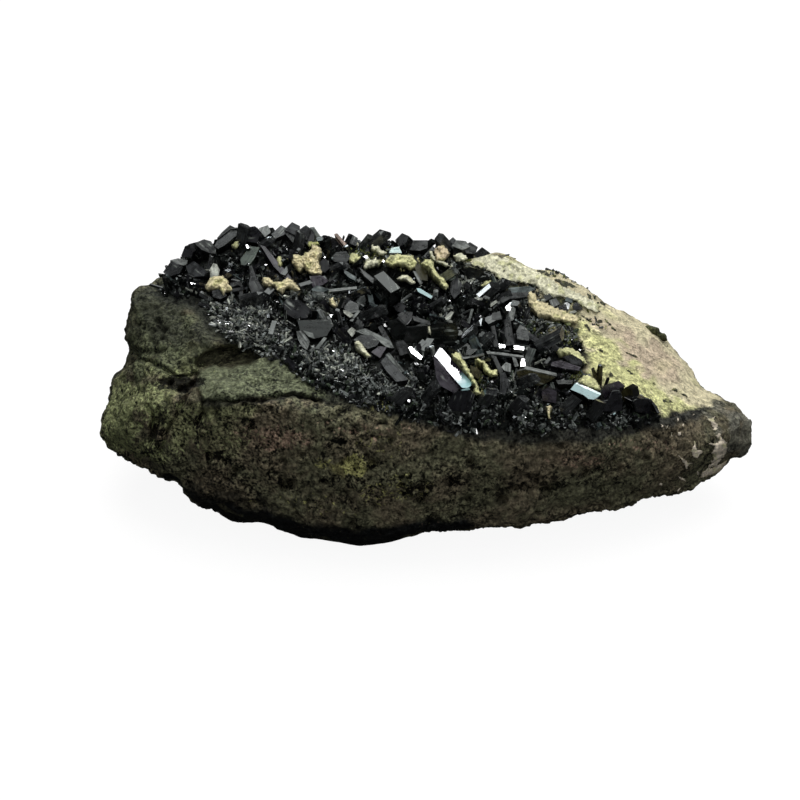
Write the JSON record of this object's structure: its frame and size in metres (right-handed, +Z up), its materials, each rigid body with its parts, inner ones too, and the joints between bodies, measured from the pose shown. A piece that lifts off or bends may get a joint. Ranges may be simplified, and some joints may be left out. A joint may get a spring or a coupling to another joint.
{
  "type": "rough epidote crystals on matrix",
  "caption": "Rough mineral specimen: a wedge-shaped block of dark rock with a bed of black-green epidote prisms and cream feldspar lumps on its sloping top.",
  "frame": {"origin": "middle of the bounding box, on the surface that the specimen rests on", "axes": "+Z up, +X along the specimen towards its narrow end, the crystal bed slopes down towards -Y"},
  "size_m": [0.1207, 0.0646, 0.049],
  "materials": {
    "rock": "broken, granular, matte",
    "epidote": "glassy crystal faces",
    "feldspar": "rough, matte"
  },
  "bodies": {
    "root": {"matrix": "rock", "druse": "epidote", "feldspar_left": "feldspar", "feldspar_strip": "feldspar", "feldspar_main": "feldspar", "feldspar_crest_left": "feldspar", "feldspar_crest_mid": "feldspar", "feldspar_crest_right": "feldspar", "feldspar_chip_front": "feldspar", "feldspar_beside_hero": "feldspar", "feldspar_arc": "feldspar", "feldspar_right": "feldspar", "prism_corner_block": "epidote", "prism_shoulder_block": "epidote", "prism_shoulder_log": "epidote", "prism_glassy": "epidote", "prism_crest_green": "epidote", "prism_long_lath": "epidote", "prism_fan_grey": "epidote", "prism_pin_left": "epidote", "prism_peak_left": "epidote", "prism_peak_mid": "epidote", "prism_crest_bright": "epidote", "prism_under_lump": "epidote", "prism_needle_left": "epidote", "prism_black_slope": "epidote", "prism_splinter_front": "epidote", "prism_teal_left": "epidote", "prism_grey_left": "epidote", "prism_teal_pin": "epidote", "prism_disc_dark": "epidote", "prism_wide_slab": "epidote", "prism_lower_slab": "epidote", "prism_white_needle": "epidote", "prism_hero_white": "epidote", "prism_black_centre": "epidote", "prism_crest_dark": "epidote", "prism_teal_bar": "epidote", "prism_grey_bar": "epidote", "prism_black_mid": "epidote", "prism_upright_left": "epidote", "prism_upright_thin": "epidote", "prism_upright_wide": "epidote", "prism_white_top": "epidote", "prism_right_block": "epidote", "prism_long_needle": "epidote", "prism_short_needle": "epidote", "prism_edge_log": "epidote", "prism_right_log": "epidote", "prism_hero_teal": "epidote", "prism_black_upright": "epidote", "prism_rim_post": "epidote", "prism_rim_end": "epidote", "prism_flank_knob": "epidote"}
  },
  "joints": []
}
